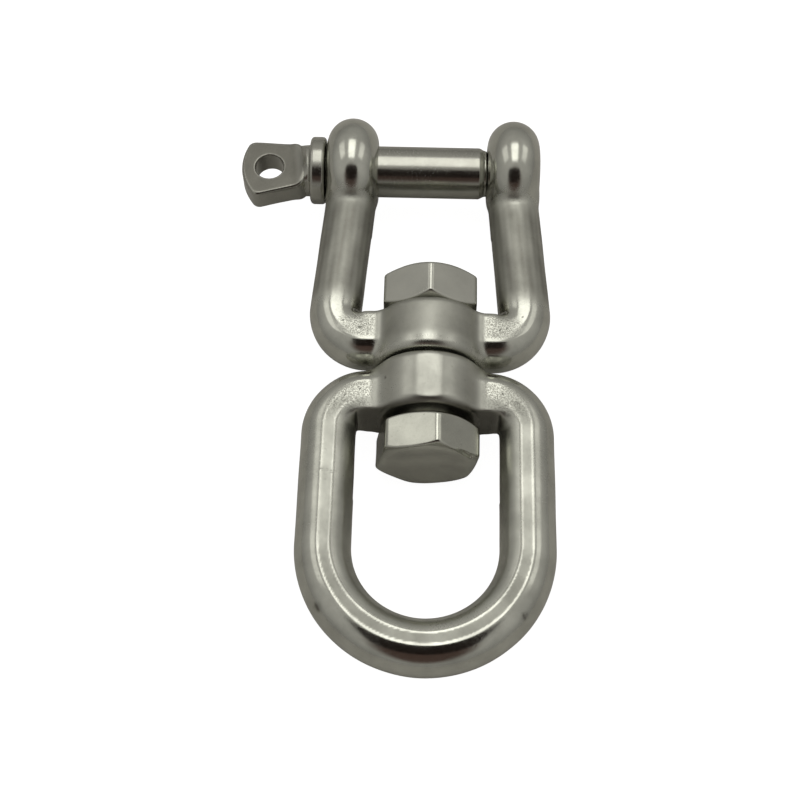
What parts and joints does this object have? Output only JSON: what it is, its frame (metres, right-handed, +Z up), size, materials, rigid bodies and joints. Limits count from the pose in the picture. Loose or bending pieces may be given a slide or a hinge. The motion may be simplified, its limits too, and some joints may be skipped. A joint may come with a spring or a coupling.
{
  "type": "anchor swivel",
  "caption": "Jaw-and-eye swivel that joins an anchor to its chain and lets the two turn freely, with a removable screw-in clevis pin.",
  "frame": {"origin": "centre of the clevis pin, midway between the jaw's two ears", "axes": "+X along the clevis pin from its head to its thread, +Y along the line of pull from the eye to the clevis pin, +Z up from the flat ground that the swivel lies on"},
  "size_m": [0.0604, 0.1116, 0.0206],
  "materials": {
    "jaw_steel": "cast stainless steel, tumbled to a satin, with rougher blasted patches near the boss",
    "eye_steel": "cast stainless steel, tumbled to a satin, with a ground band round the eye",
    "bolt_steel": "forged stainless steel, bright satin flats and softened edges",
    "nut_steel": "machined stainless steel, satin flats",
    "weld_steel": "stainless weld bead, faintly straw and blue from the heat",
    "pin_steel": "turned and forged stainless steel, polished shank and satin pad"
  },
  "bodies": {
    "jaw": {"jaw": "jaw_steel"},
    "eye": {"eye": "eye_steel"},
    "bolt_set": {"swivel_bolt": "bolt_steel", "swivel_nut": "nut_steel", "nut_lock_weld": "weld_steel"},
    "clevis_pin": {"clevis_pin": "pin_steel"}
  },
  "joints": [
    {"name": "eye_swivel", "type": "hinge", "parent": "jaw", "child": "eye", "pos_m": [0, -0.0443, 0], "axis": [0, 1, 0], "continuous": true},
    {"name": "bolt_spin", "type": "hinge", "parent": "jaw", "child": "bolt_set", "pos_m": [0, -0.0443, 0], "axis": [0, 1, 0], "continuous": true},
    {"name": "pin_withdraw", "type": "slide", "parent": "jaw", "child": "clevis_pin", "axis": [-1, 0, 0], "range_m": [0, 0.046]}
  ]
}
